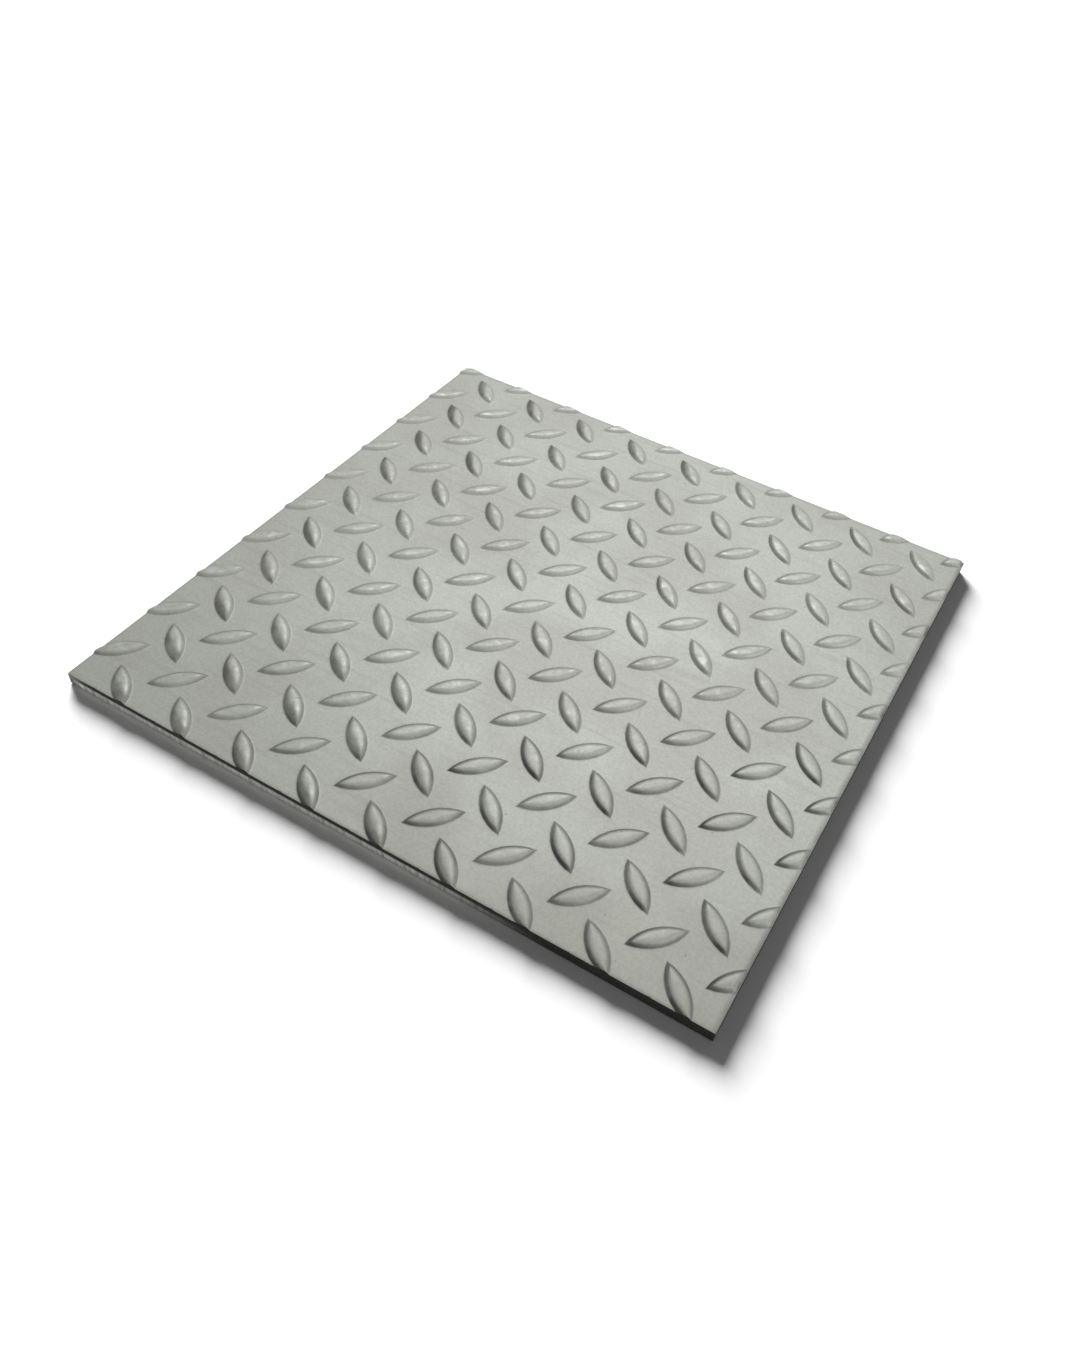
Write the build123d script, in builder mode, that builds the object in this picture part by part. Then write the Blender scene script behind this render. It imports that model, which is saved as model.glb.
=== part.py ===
# Checker steel plate: one piece of hot-rolled floor plate, sheared to a square.
# The smooth underside lies on the ground and the raised pattern faces up.
# X runs along the near edge, Y away from it and Z up.
# The origin is the middle of the underside. All lengths are in millimetres.
import os
from math import atan2, ceil, degrees

from build123d import *

# The plate as it was sheared, with its thickness measured between the lugs
plate_length = 300.0
plate_width = 300.0
base_thickness = 6.0
underside_chamfer = 0.4

# One lug, measured at its foot; it narrows by flank_run all round up to its flat top
lug_length = 24.6
lug_width = 8.2
lug_rise = 1.5
flank_run = 2.0

# The pattern: lugs that lean one way stand in columns and rows, and lugs that
# lean the other way stand midway between every four of them
lug_turn_degrees = 45.0
column_pitch = 32.4
row_pitch = 30.85
first_column = 23.2
first_row = 6.9

flank_angle = degrees(atan2(flank_run, lug_rise))
top_height = base_thickness + lug_rise

# The foot of one lug: two equal arcs that meet in a point at each end
with BuildSketch() as lug_foot:
    with BuildLine():
        ThreePointArc((-lug_length / 2, 0), (0, -lug_width / 2), (lug_length / 2, 0))
        ThreePointArc((lug_length / 2, 0), (0, lug_width / 2), (-lug_length / 2, 0))
    make_face()

# How far a turned lug reaches from its centre along X and along Y
turned_foot = lug_foot.sketch.rotate(Axis.Z, lug_turn_degrees).bounding_box()
reach_x = turned_foot.max.X
reach_y = turned_foot.max.Y


def lug_centres(from_left, from_near):
    # Centres of the lugs of one lean that stand on the plate or reach over its edge
    column_count = ceil(plate_length / column_pitch)
    row_count = ceil(plate_width / row_pitch)
    centres = []
    for column in range(-1, column_count + 1):
        for row in range(-1, row_count + 1):
            x = from_left + column * column_pitch - plate_length / 2
            y = from_near + row * row_pitch - plate_width / 2
            if abs(x) < plate_length / 2 + reach_x and abs(y) < plate_width / 2 + reach_y:
                centres.append((x, y))
    return centres


falling_centres = lug_centres(first_column, first_row)
rising_centres = lug_centres(first_column - column_pitch / 2, first_row - row_pitch / 2)
standing_on_ground = (Align.CENTER, Align.CENTER, Align.MIN)

with BuildPart() as checker_plate:
    # The base, with the burr taken off round its underside
    Box(plate_length, plate_width, base_thickness, align=standing_on_ground)
    underside = checker_plate.faces().sort_by(Axis.Z)[0]
    chamfer(underside.edges(), underside_chamfer)

    # The lugs are rolled whole and then sheared off flush with the sides of the plate
    with BuildSketch(Plane.XY.offset(base_thickness)):
        with Locations(*falling_centres):
            add(lug_foot.sketch, rotation=-lug_turn_degrees)
        with Locations(*rising_centres):
            add(lug_foot.sketch, rotation=lug_turn_degrees)
    extrude(amount=lug_rise, taper=flank_angle)
    Box(plate_length, plate_width, top_height, align=standing_on_ground, mode=Mode.INTERSECT)

os.makedirs("parts", exist_ok=True)
checker_plate.part.label = "checker_plate"
export_step(checker_plate.part, "parts/checker_plate.step")

print("lugs on the plate:", len(falling_centres) + len(rising_centres))
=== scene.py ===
import math

import bmesh
import bpy
from mathutils import Matrix, Quaternion, Vector


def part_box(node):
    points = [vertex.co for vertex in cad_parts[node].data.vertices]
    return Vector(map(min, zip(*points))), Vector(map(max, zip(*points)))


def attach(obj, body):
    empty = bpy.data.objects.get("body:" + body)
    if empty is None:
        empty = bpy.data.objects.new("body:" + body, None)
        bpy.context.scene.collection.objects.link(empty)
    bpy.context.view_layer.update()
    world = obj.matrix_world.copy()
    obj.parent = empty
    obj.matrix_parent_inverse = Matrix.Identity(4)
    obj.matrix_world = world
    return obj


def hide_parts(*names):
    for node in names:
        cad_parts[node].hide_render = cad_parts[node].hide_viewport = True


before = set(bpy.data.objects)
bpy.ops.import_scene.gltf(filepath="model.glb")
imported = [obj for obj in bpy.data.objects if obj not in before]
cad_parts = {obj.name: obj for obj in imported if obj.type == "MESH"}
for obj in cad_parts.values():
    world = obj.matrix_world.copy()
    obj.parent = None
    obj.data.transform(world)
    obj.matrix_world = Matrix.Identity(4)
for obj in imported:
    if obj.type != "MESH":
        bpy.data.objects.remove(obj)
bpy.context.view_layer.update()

plateLow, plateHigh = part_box("checker_plate")
mm = 0.001

# what the photo's camera was: place, aim and roll, worked out from the lug pattern
cameraSetup = {
    "place": Vector((0.1727, -0.3466, 0.3638)),
    "aim": Vector((0.0228, -0.0274, 0.0015)),
    "rollDegrees": 6.73,
    "lensMm": 30.45,
    "sensorMm": 36,
    "sideShift": -0.0229,
    "clipStart": 0.01,
}


def makeCamera():
    lensData = bpy.data.cameras.new("photoCamera")
    lensData.sensor_width = cameraSetup["sensorMm"]
    lensData.lens = cameraSetup["lensMm"]
    lensData.shift_x = cameraSetup["sideShift"]
    lensData.clip_start = cameraSetup["clipStart"]
    camera = bpy.data.objects.new("photoCamera", lensData)
    bpy.context.scene.collection.objects.link(camera)
    lookAlong = cameraSetup["aim"] - cameraSetup["place"]
    roll = Quaternion((0, 0, 1), math.radians(cameraSetup["rollDegrees"]))
    camera.rotation_mode = "QUATERNION"
    camera.rotation_quaternion = lookAlong.to_track_quat("-Z", "Y") @ roll
    camera.location = cameraSetup["place"]
    bpy.context.scene.camera = camera
    print("camera ready")


# the rolled pattern, the same sizes as the solid has
pattern = {
    "lugLength": 24.6 * mm,
    "lugWidth": 8.2 * mm,
    "leanDegrees": 45,
    "columnPitch": 32.4 * mm,
    "rowPitch": 30.85 * mm,
    "firstColumn": 23.2 * mm,
    "firstRow": 6.9 * mm,
    "baseThickness": 6.0 * mm,
    "arcSteps": 8,
    "outerRing": -0.9 * mm,  # the plate is flat from here outwards
    "borderBulge": 3.0 * mm,  # keeps the border between two tiles clear of the lug tips
    "tipSlack": 0.01,  # in radians, so that rounding can't put the tip at the end of the turn
    "mergeWithin": 0.01 * mm,
    "twinAcross": 9,  # far outside a lug's half width, so the smears of painted shade pass the twin lugs by
    "spareTiles": 2,  # beyond the plate's own size, along and across
    # rings from the fillet at the foot up to the crown: how far inside the foot, height,
    # painted shade on the side turned away from the light, on the other sides, and on those
    # other sides at the near corner, and wear, which also places the painted glints
    "rings": [
        (-0.45 * mm, 0.01 * mm, 0.0, 0.0, 0.0, 0.0),
        (0.1 * mm, 0.16 * mm, 1.0, 0.45, 1.0, 0.0),
        (0.9 * mm, 0.84 * mm, 0.75, 0.0, 0.7, 0.0),
        (1.6 * mm, 1.24 * mm, 0.2, 0.0, 0.1, 0.4),
        (2.4 * mm, 1.43 * mm, 0.0, 0.0, 0.0, 1.0),
        (3.3 * mm, 1.5 * mm, 0.0, 0.0, 0.0, 0.7),
    ],
}


def only(kind, geometry):
    return [part for part in geometry if isinstance(part, kind)]


def shadeAndWearLayers(bm):
    names = ("paintedShade", "shadowSide", "nearest", "along", "across", "wear")
    return [bm.verts.layers.float.get(name) or bm.verts.layers.float.new(name) for name in names]


def lugSize(inwards):
    # half the length, half the width and the arc's radius of the lug's outline, that far inside its foot
    halfLength, halfWidth = pattern["lugLength"] / 2, pattern["lugWidth"] / 2
    footRadius = (halfLength**2 + halfWidth**2) / (2 * halfWidth)
    radius, centreOffset = footRadius - inwards, footRadius - halfWidth
    return math.sqrt(radius**2 - centreOffset**2), radius - centreOffset, radius


def turnFromTip(vert):
    # how far round the lug a point is, counted from its near right tip
    turn = math.atan2(vert.co.y, vert.co.x) + math.radians(pattern["leanDegrees"])
    return (turn + pattern["tipSlack"]) % math.tau


def borderPoint(sidesRound):
    # a tile's border is the diamond between its four neighbours, bent outwards at the lug's tips
    halfColumn, halfRow = pattern["columnPitch"] / 2, pattern["rowPitch"] / 2
    corners = [
        Vector((halfColumn, 0, 0)),
        Vector((0, halfRow, 0)),
        Vector((-halfColumn, 0, 0)),
        Vector((0, -halfRow, 0)),
    ]
    side = math.floor(sidesRound)
    along = corners[(side + 1) % 4] - corners[side % 4]
    outwards = along.cross(Vector((0, 0, 1))).normalized()
    bend = pattern["borderBulge"] * math.sin(math.pi * (sidesRound - side)) ** 2
    return corners[side % 4] + along * (sidesRound - side) + outwards * (bend if side % 2 else -bend)


def makeLugTile():
    # one lug that lies along X, its outline two spun arcs, drawn up ring by ring to its crown
    bm = bmesh.new()
    paintedShade, shadowSide, nearest, along, across, wear = shadeAndWearLayers(bm)
    halfLength, halfWidth, radius = lugSize(pattern["outerRing"])
    start = bmesh.ops.create_vert(bm, co=(-halfLength, 0, 0))["vert"]
    sweep = 2 * math.asin(halfLength / radius)
    arcCentre = (0, halfWidth - radius, 0)
    bmesh.ops.spin(bm, geom=start, cent=arcCentre, axis=(0, 0, -1), angle=sweep, steps=pattern["arcSteps"])
    bmesh.ops.mirror(bm, geom=bm.verts[:] + bm.edges[:], axis="Y", merge_dist=pattern["mergeWithin"])
    bmesh.ops.remove_doubles(bm, verts=bm.verts, dist=pattern["mergeWithin"])
    crown = bmesh.ops.contextual_create(bm, geom=bm.edges[:])["faces"][0]
    for inwards, height, shadowSideShade, otherShade, nearShade, wearHere in pattern["rings"]:
        crown = bmesh.ops.extrude_discrete_faces(bm, faces=[crown])["faces"][0]
        nextLength, nextWidth, radius = lugSize(inwards)
        bmesh.ops.scale(bm, verts=crown.verts, vec=(nextLength / halfLength, nextWidth / halfWidth, 1))
        halfLength, halfWidth = nextLength, nextWidth
        for vert in crown.verts:
            vert.co.z = height
            vert[paintedShade] = otherShade
            vert[shadowSide] = shadowSideShade
            vert[nearest] = nearShade
            vert[along] = 2 * vert.co.x / pattern["lugLength"]
            vert[across] = 2 * vert.co.y / pattern["lugWidth"]
            vert[wear] = wearHere
    lean = Matrix.Rotation(math.radians(-pattern["leanDegrees"]), 3, "Z")
    bmesh.ops.rotate(bm, verts=bm.verts, matrix=lean)

    # the flat plate round it, out to a border that the next lug's tile shares
    outerRing = [edge for edge in bm.edges if edge.is_boundary]
    grown = bmesh.ops.extrude_edge_only(bm, edges=outerRing)["geom"]
    border = only(bmesh.types.BMVert, grown)
    border.sort(key=turnFromTip)
    for number, vert in enumerate(border):
        vert.co = borderPoint(4 * number / len(border) - 0.5)  # the tip is halfway along a side
    bmesh.ops.recalc_face_normals(bm, faces=bm.faces)
    if crown.normal.z < 0:
        bmesh.ops.reverse_faces(bm, faces=bm.faces)
    return bm


def repeatTile(bm):
    # a second lug leans the other way half a pitch along and across, and the pair fills the plate
    twin = bmesh.ops.duplicate(bm, geom=bm.verts[:] + bm.edges[:] + bm.faces[:])["geom"]
    twinVerts = only(bmesh.types.BMVert, twin)
    across = bm.verts.layers.float["across"]
    for vert in twinVerts:
        vert[across] = pattern["twinAcross"]
    bmesh.ops.scale(bm, verts=twinVerts, vec=(-1, 1, 1))
    bmesh.ops.reverse_faces(bm, faces=only(bmesh.types.BMFace, twin))
    columnStep = Vector((pattern["columnPitch"], 0, 0))
    rowStep = Vector((0, pattern["rowPitch"], 0))
    bmesh.ops.translate(bm, verts=twinVerts, vec=-(columnStep + rowStep) / 2)
    size = plateHigh - plateLow
    columns = math.ceil(size.x / pattern["columnPitch"]) + pattern["spareTiles"]
    rows = math.ceil(size.y / pattern["rowPitch"]) + pattern["spareTiles"]
    for count, step in ((columns, columnStep), (rows, rowStep)):
        strip = bm.verts[:] + bm.edges[:] + bm.faces[:]
        for number in range(1, count):
            copy = bmesh.ops.duplicate(bm, geom=strip)["geom"]
            bmesh.ops.translate(bm, verts=only(bmesh.types.BMVert, copy), vec=step * number)
    bmesh.ops.remove_doubles(bm, verts=bm.verts, dist=pattern["mergeWithin"])

    # it starts at the plate's left near corner, one pitch before the first column and row
    corner = Vector((plateLow.x, plateLow.y, pattern["baseThickness"]))
    beforeFirst = (
        pattern["firstColumn"] - pattern["columnPitch"],
        pattern["firstRow"] - pattern["rowPitch"],
        0,
    )
    bmesh.ops.translate(bm, verts=bm.verts, vec=corner + Vector(beforeFirst))


def clamp(value):
    return min(1.0, max(0.0, value))


def shareBetween(value, start, end):
    # 0 up to the start and 1 from the end on
    return clamp((value - start) / (end - start))


# where the painted shade lies: it is thick, and the crowns are unworn with few painted glints, at the near
# corner, and it is smeared, as a painted dark reflection, over parts of the lugs towards the left and the
# far corner
shadeLayout = {
    "shadowSideFacing": Vector((-0.71, -0.71, 0)),
    "fullFacing": 0.5,  # how squarely a flank faces that side where it has all of its painted shade
    "nearFrom": 0.15,  # as shares of the way from the plate's middle to its corner
    "nearTo": 0.65,
    "nearWear": 0.1,
    "nearSidePull": 0.7,  # draws the thick painted shade towards the near side
    "nearShadowSide": 0.5,  # how much thicker it is there on the sides in shade, most at the lower tips
    "smearShade": 0.95,
    "smearFrom": 1 / 6,  # as shares of the way to the left or the far corner
    "smearTo": 1 / 2,
    "smearEdge": 0.4,  # of a lug's half width
    "leftSlant": 1.2,
    "leftReach": 0.1,
    "farSlant": -1.3,
    "farTipLighter": 0.7,  # how much less painted shade the lower tips have at the far corner
    "farTipFull": 0.5,  # of the way to that corner, and of the way from a lug's middle to its tip
}


def paintShade(bm):
    paintedShade, shadowSide, nearest, along, across, wear = shadeAndWearLayers(bm)
    bm.normal_update()
    for vert in bm.verts:
        if vert[shadowSide] == 0 and vert[wear] == 0:
            continue  # the flat plate round the lugs
        towardsNear = (vert.co.x - vert.co.y) / (plateHigh.x + plateHigh.y)
        towardsLeft = -(vert.co.x + vert.co.y) / (plateHigh.x + plateHigh.y)
        left, far = clamp(towardsLeft), clamp(-towardsNear)
        near = shareBetween(towardsNear, shadeLayout["nearFrom"], shadeLayout["nearTo"])
        vert[wear] *= 1 - near * (1 - shadeLayout["nearWear"])

        near = clamp(near - shadeLayout["nearSidePull"] * vert.co.y / plateHigh.y)
        vert[paintedShade] += (vert[nearest] - vert[paintedShade]) * near
        # painted shade, thickest on the flanks turned away from the light
        facing = clamp(vert.normal.dot(shadeLayout["shadowSideFacing"]) / shadeLayout["fullFacing"])
        shadowSideHere = vert[shadowSide] * (1 + near**2 * shadeLayout["nearShadowSide"] * (1 + vert[along]))
        vert[paintedShade] += (shadowSideHere - vert[paintedShade]) * facing
        farTip = clamp(far / shadeLayout["farTipFull"]) * clamp(vert[along] / shadeLayout["farTipFull"])
        vert[paintedShade] *= 1 - shadeLayout["farTipLighter"] * farTip

        # a painted dark reflection, smeared over part of each lug towards the left and the far corner
        slant = left * shadeLayout["leftSlant"] + far * shadeLayout["farSlant"]
        reach = slant * vert[along] - vert[across] + left * shadeLayout["leftReach"]
        zone = shareBetween(max(left, far), shadeLayout["smearFrom"], shadeLayout["smearTo"])
        smear = clamp(reach / shadeLayout["smearEdge"]) * shadeLayout["smearShade"] * zone
        vert[paintedShade] = max(vert[paintedShade], smear)
    for name in ("shadowSide", "nearest", "along", "across"):  # only the painted shade and the wear are kept
        bm.verts.layers.float.remove(bm.verts.layers.float[name])


# the four sheared sides: the rim is drawn down, then the cut runs to the underside
shear = {
    # which way a side faces, its rim's width and drop, how far it flattens the lugs that it cuts,
    # and the painted shade along its rim
    "sides": [
        (Vector((1, 0, 0)), 2.4 * mm, 0.1 * mm, 0.95, 0.8),
        (Vector((-1, 0, 0)), 1.2 * mm, 0.1 * mm, 0.0, 0.3),
        (Vector((0, 1, 0)), 1.6 * mm, 0.2 * mm, 0.75, 0.3),
        (Vector((0, -1, 0)), 1.2 * mm, 0.2 * mm, 0.1, 0.15),
    ],
    "rimLoopShares": [0.2, 0.4, 0.65, 1.0],  # of the rim's width
    "lugEndShares": (0.2, 0.65),  # across the rim: where a flattened lug ends, and where it is whole
    "lugEndShade": 1.25,
    "lugEndHeight": 1.0 * mm,  # a lug gets all of that painted shade where it stood this high or higher
    # how far in from the plate's size, and height above the underside
    "steps": [
        (0.0, 5.4 * mm),
        (0.0, 4.2 * mm),
        (0.06 * mm, 3.6 * mm),
        (0.06 * mm, 0.7 * mm),
        (0.0, 0.4 * mm),
        (0.4 * mm, 0.0),
    ],
    "sideSlot": 1,  # which of the plate's finishes the cut sides get, and then the underside
    "undersideSlot": 2,
    "undersideCells": 8,  # each way
    "onPlane": 0.002 * mm,  # a point this close to a cut counts as lying on it
    "sharpDegrees": 40,
}


def cutAcross(bm, faces, side, distance, clear=False):
    # a straight cut through these faces, square to that side and that far from the plate's middle
    edges = list(dict.fromkeys(edge for face in faces for edge in face.edges))
    verts = list(dict.fromkeys(vert for face in faces for vert in face.verts))
    bmesh.ops.bisect_plane(
        bm,
        geom=verts + edges + faces,
        dist=shear["onPlane"],
        plane_co=side * distance,
        plane_no=side,
        clear_outer=clear,
    )


def drawDownRim(bm):
    # the blade draws each rim down, and flattens what it cuts of a lug; both get painted shade
    paintedShade = bm.verts.layers.float["paintedShade"]
    lugEnd, lugWhole = shear["lugEndShares"]
    for vert in bm.verts:
        for side, rimWidth, rimDrop, flattening, rimShade in shear["sides"]:
            fromCut = abs(side.dot(plateHigh)) - side.dot(vert.co)
            share = clamp(fromCut / rimWidth)
            lugShare = shareBetween(share, lugEnd, lugWhole)
            pressed = flattening * (1 - lugShare**2 * (3 - 2 * lugShare))  # eases in and out
            raised = max(0.0, vert.co.z - pattern["baseThickness"])
            vert.co.z -= raised * pressed + rimDrop * (1 - share) ** 2
            nearEnd = 1 - abs(share - lugEnd) / (1 - lugEnd)
            cutLugShade = shear["lugEndShade"] * flattening * clamp(raised / shear["lugEndHeight"]) * nearEnd
            vert[paintedShade] = max(vert[paintedShade], rimShade * (1 - share), cutLugShade)


def shearToSize(bm):
    # cut at each side, with loops close to the cut for the drawn-down rim
    for side, rimWidth, *_ in shear["sides"]:
        reach = abs(side.dot(plateHigh))
        cutAcross(bm, bm.faces[:], side, reach, clear=True)
        for loopShare in shear["rimLoopShares"]:
            cutAcross(bm, bm.faces[:], side, reach - loopShare * rimWidth)
    drawDownRim(bm)


def closeBelow(bm):
    # the cut sides, ring below ring, and the underside
    paintedShade = bm.verts.layers.float["paintedShade"]
    wear = bm.verts.layers.float["wear"]
    ring = [edge for edge in bm.edges if edge.is_boundary]
    for inset, height in shear["steps"]:
        grown = bmesh.ops.extrude_edge_only(bm, edges=ring)["geom"]
        ring = only(bmesh.types.BMEdge, grown)
        for face in only(bmesh.types.BMFace, grown):
            face.material_index = shear["sideSlot"]
        for vert in only(bmesh.types.BMVert, grown):
            vert.co.x = max(plateLow.x + inset, min(plateHigh.x - inset, vert.co.x))
            vert.co.y = max(plateLow.y + inset, min(plateHigh.y - inset, vert.co.y))
            vert.co.z = height
            vert[paintedShade] = 0
            vert[wear] = 0
    underside = bmesh.ops.contextual_create(bm, geom=ring)["faces"]
    underside[0].material_index = shear["undersideSlot"]
    size, cells = plateHigh - plateLow, shear["undersideCells"]
    for number in range(1, cells):
        for side in (Vector((1, 0, 0)), Vector((0, 1, 0))):
            underside = [face for face in bm.faces if face.material_index == shear["undersideSlot"]]
            cutAcross(bm, underside, side, abs(side.dot(size)) * (number / cells - 0.5))


def makePlate():
    bm = makeLugTile()
    repeatTile(bm)
    paintShade(bm)
    print("lug pattern laid out:", len(bm.faces), "faces")
    shearToSize(bm)
    closeBelow(bm)
    bmesh.ops.recalc_face_normals(bm, faces=bm.faces)
    triangles = sum(len(face.verts) - 2 for face in bm.faces)
    openEdges = sum(len(edge.link_faces) != 2 for edge in bm.edges)
    print("plate sheared and closed:", triangles, "triangles,", openEdges, "open edges")

    mesh = bpy.data.meshes.new("plate_surface")
    bm.to_mesh(mesh)
    bm.free()
    mesh.shade_smooth()
    mesh.set_sharp_from_angle(angle=math.radians(shear["sharpDegrees"]))
    plate = bpy.data.objects.new("plate_surface", mesh)
    bpy.context.scene.collection.objects.link(plate)
    return plate


def newMaterial(name):
    material = bpy.data.materials.new(name)
    material.use_nodes = True
    return material, material.node_tree.nodes["Principled BSDF"]


def wire(material, value, socket):
    # a value is either another node's output or a plain number or colour
    if isinstance(value, bpy.types.NodeSocket):
        material.node_tree.links.new(value, socket)
    else:
        socket.default_value = value


def noiseFrom(material, scale, detail, stretch):
    nodes = material.node_tree.nodes
    place = nodes.new("ShaderNodeTexCoord")
    mapping = nodes.new("ShaderNodeMapping")
    mapping.inputs["Scale"].default_value = stretch
    wire(material, place.outputs["Object"], mapping.inputs["Vector"])
    texture = nodes.new("ShaderNodeTexNoise")
    texture.inputs["Scale"].default_value = scale
    texture.inputs["Detail"].default_value = detail
    wire(material, mapping.outputs["Vector"], texture.inputs["Vector"])
    return texture.outputs["Fac"]


def remap(material, value, lowIn, highIn, lowOut=0.0, highOut=1.0):
    node = material.node_tree.nodes.new("ShaderNodeMapRange")
    node.interpolation_type = "SMOOTHSTEP"
    names = ("From Min", "From Max", "To Min", "To Max")
    for name, number in zip(names, (lowIn, highIn, lowOut, highOut)):
        node.inputs[name].default_value = number
    wire(material, value, node.inputs["Value"])
    return node.outputs["Result"]


def noiseShare(material, scale, detail, stretch, limits, shares):
    # noise that counts between two limits, with the share that it comes to at each of them
    return remap(material, noiseFrom(material, scale, detail, stretch), *limits, *shares)


def placeOn(material):
    # the X, Y and Z of each point of the plate
    place = material.node_tree.nodes.new("ShaderNodeTexCoord")
    split = material.node_tree.nodes.new("ShaderNodeSeparateXYZ")
    wire(material, place.outputs["Object"], split.inputs["Vector"])
    return split.outputs


def combine(material, operation, first, second):
    node = material.node_tree.nodes.new("ShaderNodeMath")
    node.operation = operation
    wire(material, first, node.inputs[0])
    wire(material, second, node.inputs[1])
    return node.outputs["Value"]


def product(material, first, *others):
    for other in others:
        first = combine(material, "MULTIPLY", first, other)
    return first


def blendColour(material, share, under, over):
    node = material.node_tree.nodes.new("ShaderNodeMix")
    node.data_type = "RGBA"
    wire(material, share, node.inputs["Factor"])
    wire(material, under, node.inputs[6])  # its two colours and, below, its result as a colour
    wire(material, over, node.inputs[7])
    return node.outputs[2]


def attributeOf(material, name):
    node = material.node_tree.nodes.new("ShaderNodeAttribute")
    node.attribute_name = name
    return node.outputs["Fac"]


def addBump(material, shader, height, depth):
    node = material.node_tree.nodes.new("ShaderNodeBump")
    node.inputs["Strength"].default_value = 1.0
    node.inputs["Distance"].default_value = depth
    wire(material, height, node.inputs["Height"])
    wire(material, node.outputs["Normal"], shader.inputs["Normal"])


# each noise in a finish: its scale, detail and stretch along X, Y and Z, and mostly also
# the two limits between which it counts and the share that it comes to at each of them
rolledFinish = {
    "coolGrey": (0.505, 0.530, 0.486, 1),
    "warmGrey": (0.485, 0.496, 0.452, 1),
    "patches": (15, 6, (1, 1, 1), (0.38, 0.62), (0.0, 1.0)),
    "streakGrey": (0.340, 0.340, 0.300, 1),
    "streaks": (20, 3, (1, 16, 1), (0.5, 0.75), (0.0, 0.3)),
    "pitGrey": (0.160, 0.155, 0.135, 1),
    "pits": (330, 2, (1, 1, 1), (0.72, 0.78), (0.0, 0.5)),
    "grain": (900, 3, (1, 1, 1)),
    "grainShade": (0.3, 0.7, 0.0, 0.18),  # its limits and shares as a colour
    "grainDepth": 0.012 * mm,
    # darker and warmer towards the near side: where along Y that ends, and how much of it there is
    # at the left and at the right end
    "nearEdgeGrey": (0.260, 0.250, 0.205, 1),
    "nearEdgeTo": -60 * mm,
    "nearEdgeLeft": 0.16,
    "nearEdgeRight": 0.4,
    "wornGrey": (0.620, 0.630, 0.580, 1),
    "wornShare": 0.5,
    "scuffs": (260, 4, (1, 1, 1), (0.45, 0.7), (0.0, 1.0)),
    # painted glints: white specks on the crowns that stand in for highlights
    "paintedGlintWhite": (0.900, 0.910, 0.880, 1),
    "paintedGlints": (170, 3, (1, 1, 1), (0.54, 0.7), (0.0, 0.3)),
    # painted shade on the lugs' feet and flanks, along the rims and on the cut lug ends
    "paintedShadeGrey": (0.060, 0.060, 0.055, 1),
    "paintedShadeShare": 0.75,
    "shadeMottling": (70, 4, (1, 1, 1), (0.3, 0.65), (0.55, 1.0)),
    "roughness": (0.435, 0.485),  # on the cool and on the warm patches
    "roughnessChanges": (0.2, -0.14, -0.2),  # where there is painted shade, wear and painted glints
    "metal": 0.3,
}


def makeRolledSteel():
    steel, shader = newMaterial("rolledSteel")
    look = rolledFinish
    shader.inputs["Metallic"].default_value = look["metal"]

    # cloudy patches of mill scale, faint streaks along the rolling direction, fine grain and a few pits
    patches = noiseShare(steel, *look["patches"])
    colour = blendColour(steel, patches, look["coolGrey"], look["warmGrey"])
    place = placeOn(steel)
    nearEdge = remap(steel, place["Y"], look["nearEdgeTo"], plateLow.y)
    more = remap(steel, place["X"], plateLow.x, plateHigh.x, look["nearEdgeLeft"], look["nearEdgeRight"])
    colour = blendColour(steel, product(steel, nearEdge, more), colour, look["nearEdgeGrey"])
    colour = blendColour(steel, noiseShare(steel, *look["streaks"]), colour, look["streakGrey"])
    grain = noiseFrom(steel, *look["grain"])
    colour = blendColour(steel, remap(steel, grain, *look["grainShade"]), colour, look["pitGrey"])
    colour = blendColour(steel, noiseShare(steel, *look["pits"]), colour, look["pitGrey"])

    # crowns scuffed by feet, painted glints on the crowns, and painted shade against the flanks
    crown = attributeOf(steel, "wear")
    wear = product(steel, crown, noiseShare(steel, *look["scuffs"]))
    colour = blendColour(steel, product(steel, wear, look["wornShare"]), colour, look["wornGrey"])
    # painted glints: bright specks where highlights would be
    paintedGlints = product(steel, crown, noiseShare(steel, *look["paintedGlints"]))
    colour = blendColour(steel, paintedGlints, colour, look["paintedGlintWhite"])
    # painted shade, broken up by noise
    paintedShade = product(steel, attributeOf(steel, "paintedShade"), noiseShare(steel, *look["shadeMottling"]))
    colour = blendColour(steel, product(steel, paintedShade, look["paintedShadeShare"]), colour, look["paintedShadeGrey"])
    wire(steel, colour, shader.inputs["Base Color"])

    roughness = remap(steel, patches, 0.0, 1.0, *look["roughness"])
    for layer, change in zip((paintedShade, wear, paintedGlints), look["roughnessChanges"]):
        roughness = combine(steel, "ADD", roughness, product(steel, layer, change))
    wire(steel, roughness, shader.inputs["Roughness"])
    addBump(steel, shader, grain, look["grainDepth"])
    return steel


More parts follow.
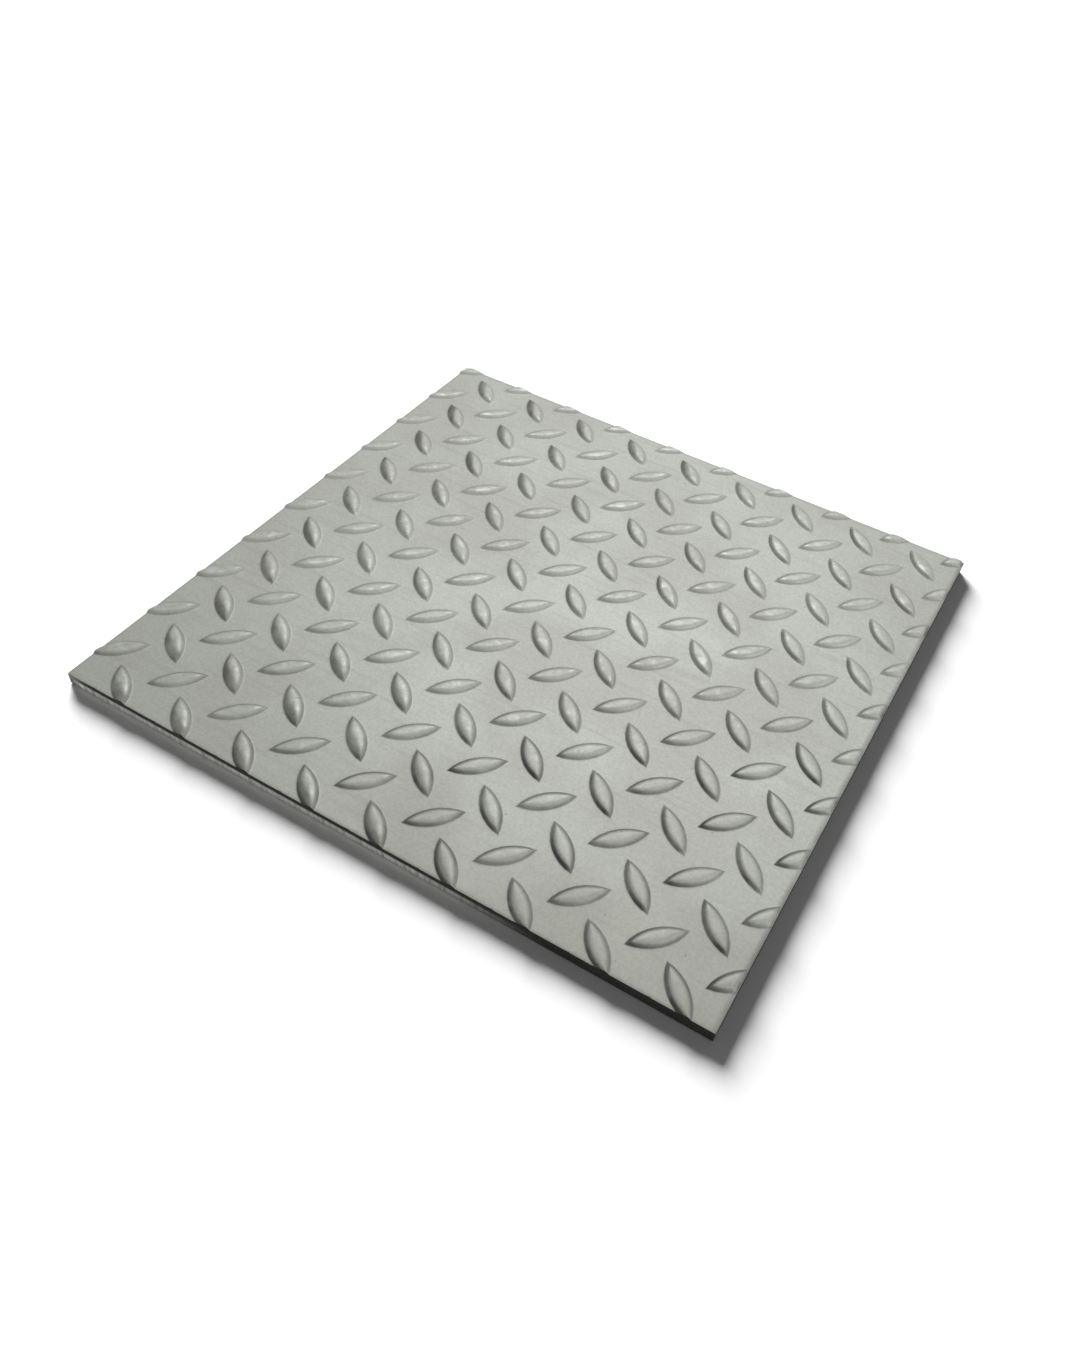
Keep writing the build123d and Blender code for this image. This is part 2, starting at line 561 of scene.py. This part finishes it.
shearedFinish = {
    # the cut sides are near-black: dark oxide, painted darker still as shade
    "oxideAndShadeGrey": (0.018, 0.018, 0.016, 1),
    "streakGrey": (0.050, 0.049, 0.044, 1),
    "tears": (700, 3, (1, 1, 0.08)),
    "tearShade": (0.45, 0.75),  # their limits as a colour
    "tearDepth": 0.06 * mm,
    # the smooth band: the height that it starts at, and how far it fades up and down from there
    "burnishedGrey": (0.030, 0.030, 0.027, 1),
    "burnishedShare": 0.9,
    "burnishedFrom": 3.4 * mm,
    "burnishedFade": 0.5 * mm,
    # the lower part of the near side broke bare, and painted shade blackens it to the right between these
    # places
    "bareGrey": (0.780, 0.780, 0.740, 1),
    "bareStreakGrey": (0.470, 0.465, 0.425, 1),
    "bareTears": (500, 5, (1, 1, 0.12), (0.4, 0.68), (0.0, 1.0)),
    "bareShadedToBlack": (20 * mm, 85 * mm),
    "bareStarts": 7 * mm,  # from the left corner
    "bareDepth": (0.15 * mm, 0.4 * mm),  # from the near side inwards, so it doesn't turn the corners
    "roughness": (0.62, 0.4),  # of the torn and of the smooth band
    "metal": 0.4,
}


def makeShearedSteel():
    steel, shader = newMaterial("shearedSteel")
    look = shearedFinish
    shader.inputs["Metallic"].default_value = look["metal"]
    place = placeOn(steel)

    # the blade left a smooth band at the top and upright tear marks below it
    tears = noiseFrom(steel, *look["tears"])
    torn = remap(steel, tears, *look["tearShade"])
    colour = blendColour(steel, torn, look["oxideAndShadeGrey"], look["streakGrey"])
    fadeFrom = look["burnishedFrom"] - look["burnishedFade"]
    fadeTo = look["burnishedFrom"] + look["burnishedFade"]
    burnished = remap(steel, place["Z"], fadeFrom, fadeTo)

    # bare steel below the smooth band, blackened towards the right as painted shade
    broken = combine(steel, "SUBTRACT", 1.0, burnished)
    inFrom, inTo = look["bareDepth"]
    nearSide = remap(steel, place["Y"], plateLow.y + inFrom, plateLow.y + inTo, 1.0, 0.0)
    shadedToBlack = remap(steel, place["X"], *look["bareShadedToBlack"], 1.0, 0.0)
    starts = remap(steel, place["X"], plateLow.x, plateLow.x + look["bareStarts"])
    bareTears = noiseShare(steel, *look["bareTears"])
    bareColour = blendColour(steel, bareTears, look["bareGrey"], look["bareStreakGrey"])
    colour = blendColour(steel, product(steel, broken, nearSide, shadedToBlack, starts), colour, bareColour)

    smooth = product(steel, burnished, look["burnishedShare"])
    colour = blendColour(steel, smooth, colour, look["burnishedGrey"])
    wire(steel, colour, shader.inputs["Base Color"])
    wire(steel, remap(steel, burnished, 0.0, 1.0, *look["roughness"]), shader.inputs["Roughness"])
    addBump(steel, shader, tears, look["tearDepth"])
    return steel


undersideFinish = {
    "scaleGrey": (0.215, 0.220, 0.210, 1),
    "scaleGrain": (700, 4, (1, 1, 1)),
    "scaleDepth": 0.02 * mm,
    "bareGrey": (0.300, 0.302, 0.285, 1),
    "rubbed": (22, 9, (1, 9, 1), (0.4, 0.75), (0.0, 1.0)),
    "rustBrown": (0.175, 0.125, 0.085, 1),
    "rust": (38, 10, (1, 1, 1), (0.58, 0.76), (0.0, 1.0)),
    "rustShare": 0.45,
    "roughness": (0.42, 0.75),  # where there is no rust, and where it is thickest
    "metal": 0.5,
}


def makeUndersideSteel():
    steel, shader = newMaterial("undersideSteel")
    look = undersideFinish
    shader.inputs["Metallic"].default_value = look["metal"]
    # smooth mill scale, rubbed bare in streaks, with a little rust in the patches
    rubbed = noiseShare(steel, *look["rubbed"])
    rust = noiseShare(steel, *look["rust"])
    colour = blendColour(steel, rubbed, look["scaleGrey"], look["bareGrey"])
    colour = blendColour(steel, product(steel, rust, look["rustShare"]), colour, look["rustBrown"])
    wire(steel, colour, shader.inputs["Base Color"])
    wire(steel, remap(steel, rust, 0.0, 1.0, *look["roughness"]), shader.inputs["Roughness"])
    addBump(steel, shader, noiseFrom(steel, *look["scaleGrain"]), look["scaleDepth"])
    return steel


# the softboxes light the plate, and a low lamp lights the floor and draws the plate's shadow there
studio = {
    "floorSide": 6.0,
    "floorWhite": 0.85,
    "floorRoughness": 0.9,
    # where each softbox hangs, aimed at the plate's middle, its side and its power in watts
    "softboxes": [
        (Vector((-0.29, 0.78, 1.0)), 0.8, 5.1),
        (Vector((1.9, -0.3, 1.0)), 1.2, 25.0),
    ],
    "floorLampFrom": Vector((-0.86, 0.77, 0.4)),
    "floorLampPower": 11.5,
    "floorLampDegrees": 29,
    "worldLight": 0.12,  # as a light; where the camera or a reflection sees the world it is white
}


def makeFloor():
    bm = bmesh.new()
    bmesh.ops.create_grid(bm, x_segments=1, y_segments=1, size=studio["floorSide"] / 2)
    mesh = bpy.data.meshes.new("floor")
    bm.to_mesh(mesh)
    bm.free()
    floor = bpy.data.objects.new("floor", mesh)
    bpy.context.scene.collection.objects.link(floor)
    paint, shader = newMaterial("paleFloor")
    white = studio["floorWhite"]
    shader.inputs["Base Color"].default_value = (white, white, white, 1)
    shader.inputs["Roughness"].default_value = studio["floorRoughness"]
    mesh.materials.append(paint)
    return floor


def hangLamp(lamp, place, floor, floorLinking):
    # aimed at the plate's middle; it lights the floor alone, or with EXCLUDE all but the floor
    hung = bpy.data.objects.new(lamp.name, lamp)
    hung.rotation_mode = "QUATERNION"
    hung.rotation_quaternion = (-place).to_track_quat("-Z", "Y")
    hung.location = place
    bpy.context.scene.collection.objects.link(hung)
    lit = bpy.data.collections.new(lamp.name)
    lit.objects.link(floor)
    lit.collection_objects[0].light_linking.link_state = floorLinking
    hung.light_linking.receiver_collection = lit


def seenDirectly(world):
    # 1 for what the camera or a reflection sees, 0 for light that falls on things
    rays = world.node_tree.nodes.new("ShaderNodeLightPath").outputs
    seen = rays["Is Camera Ray"]
    for name in ("Is Glossy Ray", "Is Transmission Ray"):
        seen = combine(world, "MAXIMUM", seen, rays[name])
    return seen


def makeLight(floor):
    for place, side, power in studio["softboxes"]:
        softbox = bpy.data.lights.new("softbox", "AREA")
        softbox.size = side
        softbox.energy = power
        hangLamp(softbox, place, floor, "EXCLUDE")
    floorLamp = bpy.data.lights.new("floorLamp", "SUN")
    floorLamp.energy = studio["floorLampPower"]
    floorLamp.angle = math.radians(studio["floorLampDegrees"])
    hangLamp(floorLamp, studio["floorLampFrom"], floor, "INCLUDE")
    world = bpy.data.worlds.new("studioWorld")
    world.use_nodes = True
    glow = world.node_tree.nodes["Background"]
    glow.inputs["Color"].default_value = (1, 1, 1, 1)
    strength = remap(world, seenDirectly(world), 0.0, 1.0, studio["worldLight"], 1.0)
    wire(world, strength, glow.inputs["Strength"])
    bpy.context.scene.world = world
    print("floor and lights ready")


makeCamera()
plate = makePlate()
for finish in (makeRolledSteel(), makeShearedSteel(), makeUndersideSteel()):  # slots 0, 1 and 2
    plate.data.materials.append(finish)
print("finishes ready")
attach(plate, "root")
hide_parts("checker_plate")
makeLight(makeFloor())
bpy.context.scene.view_settings.view_transform = "Standard"
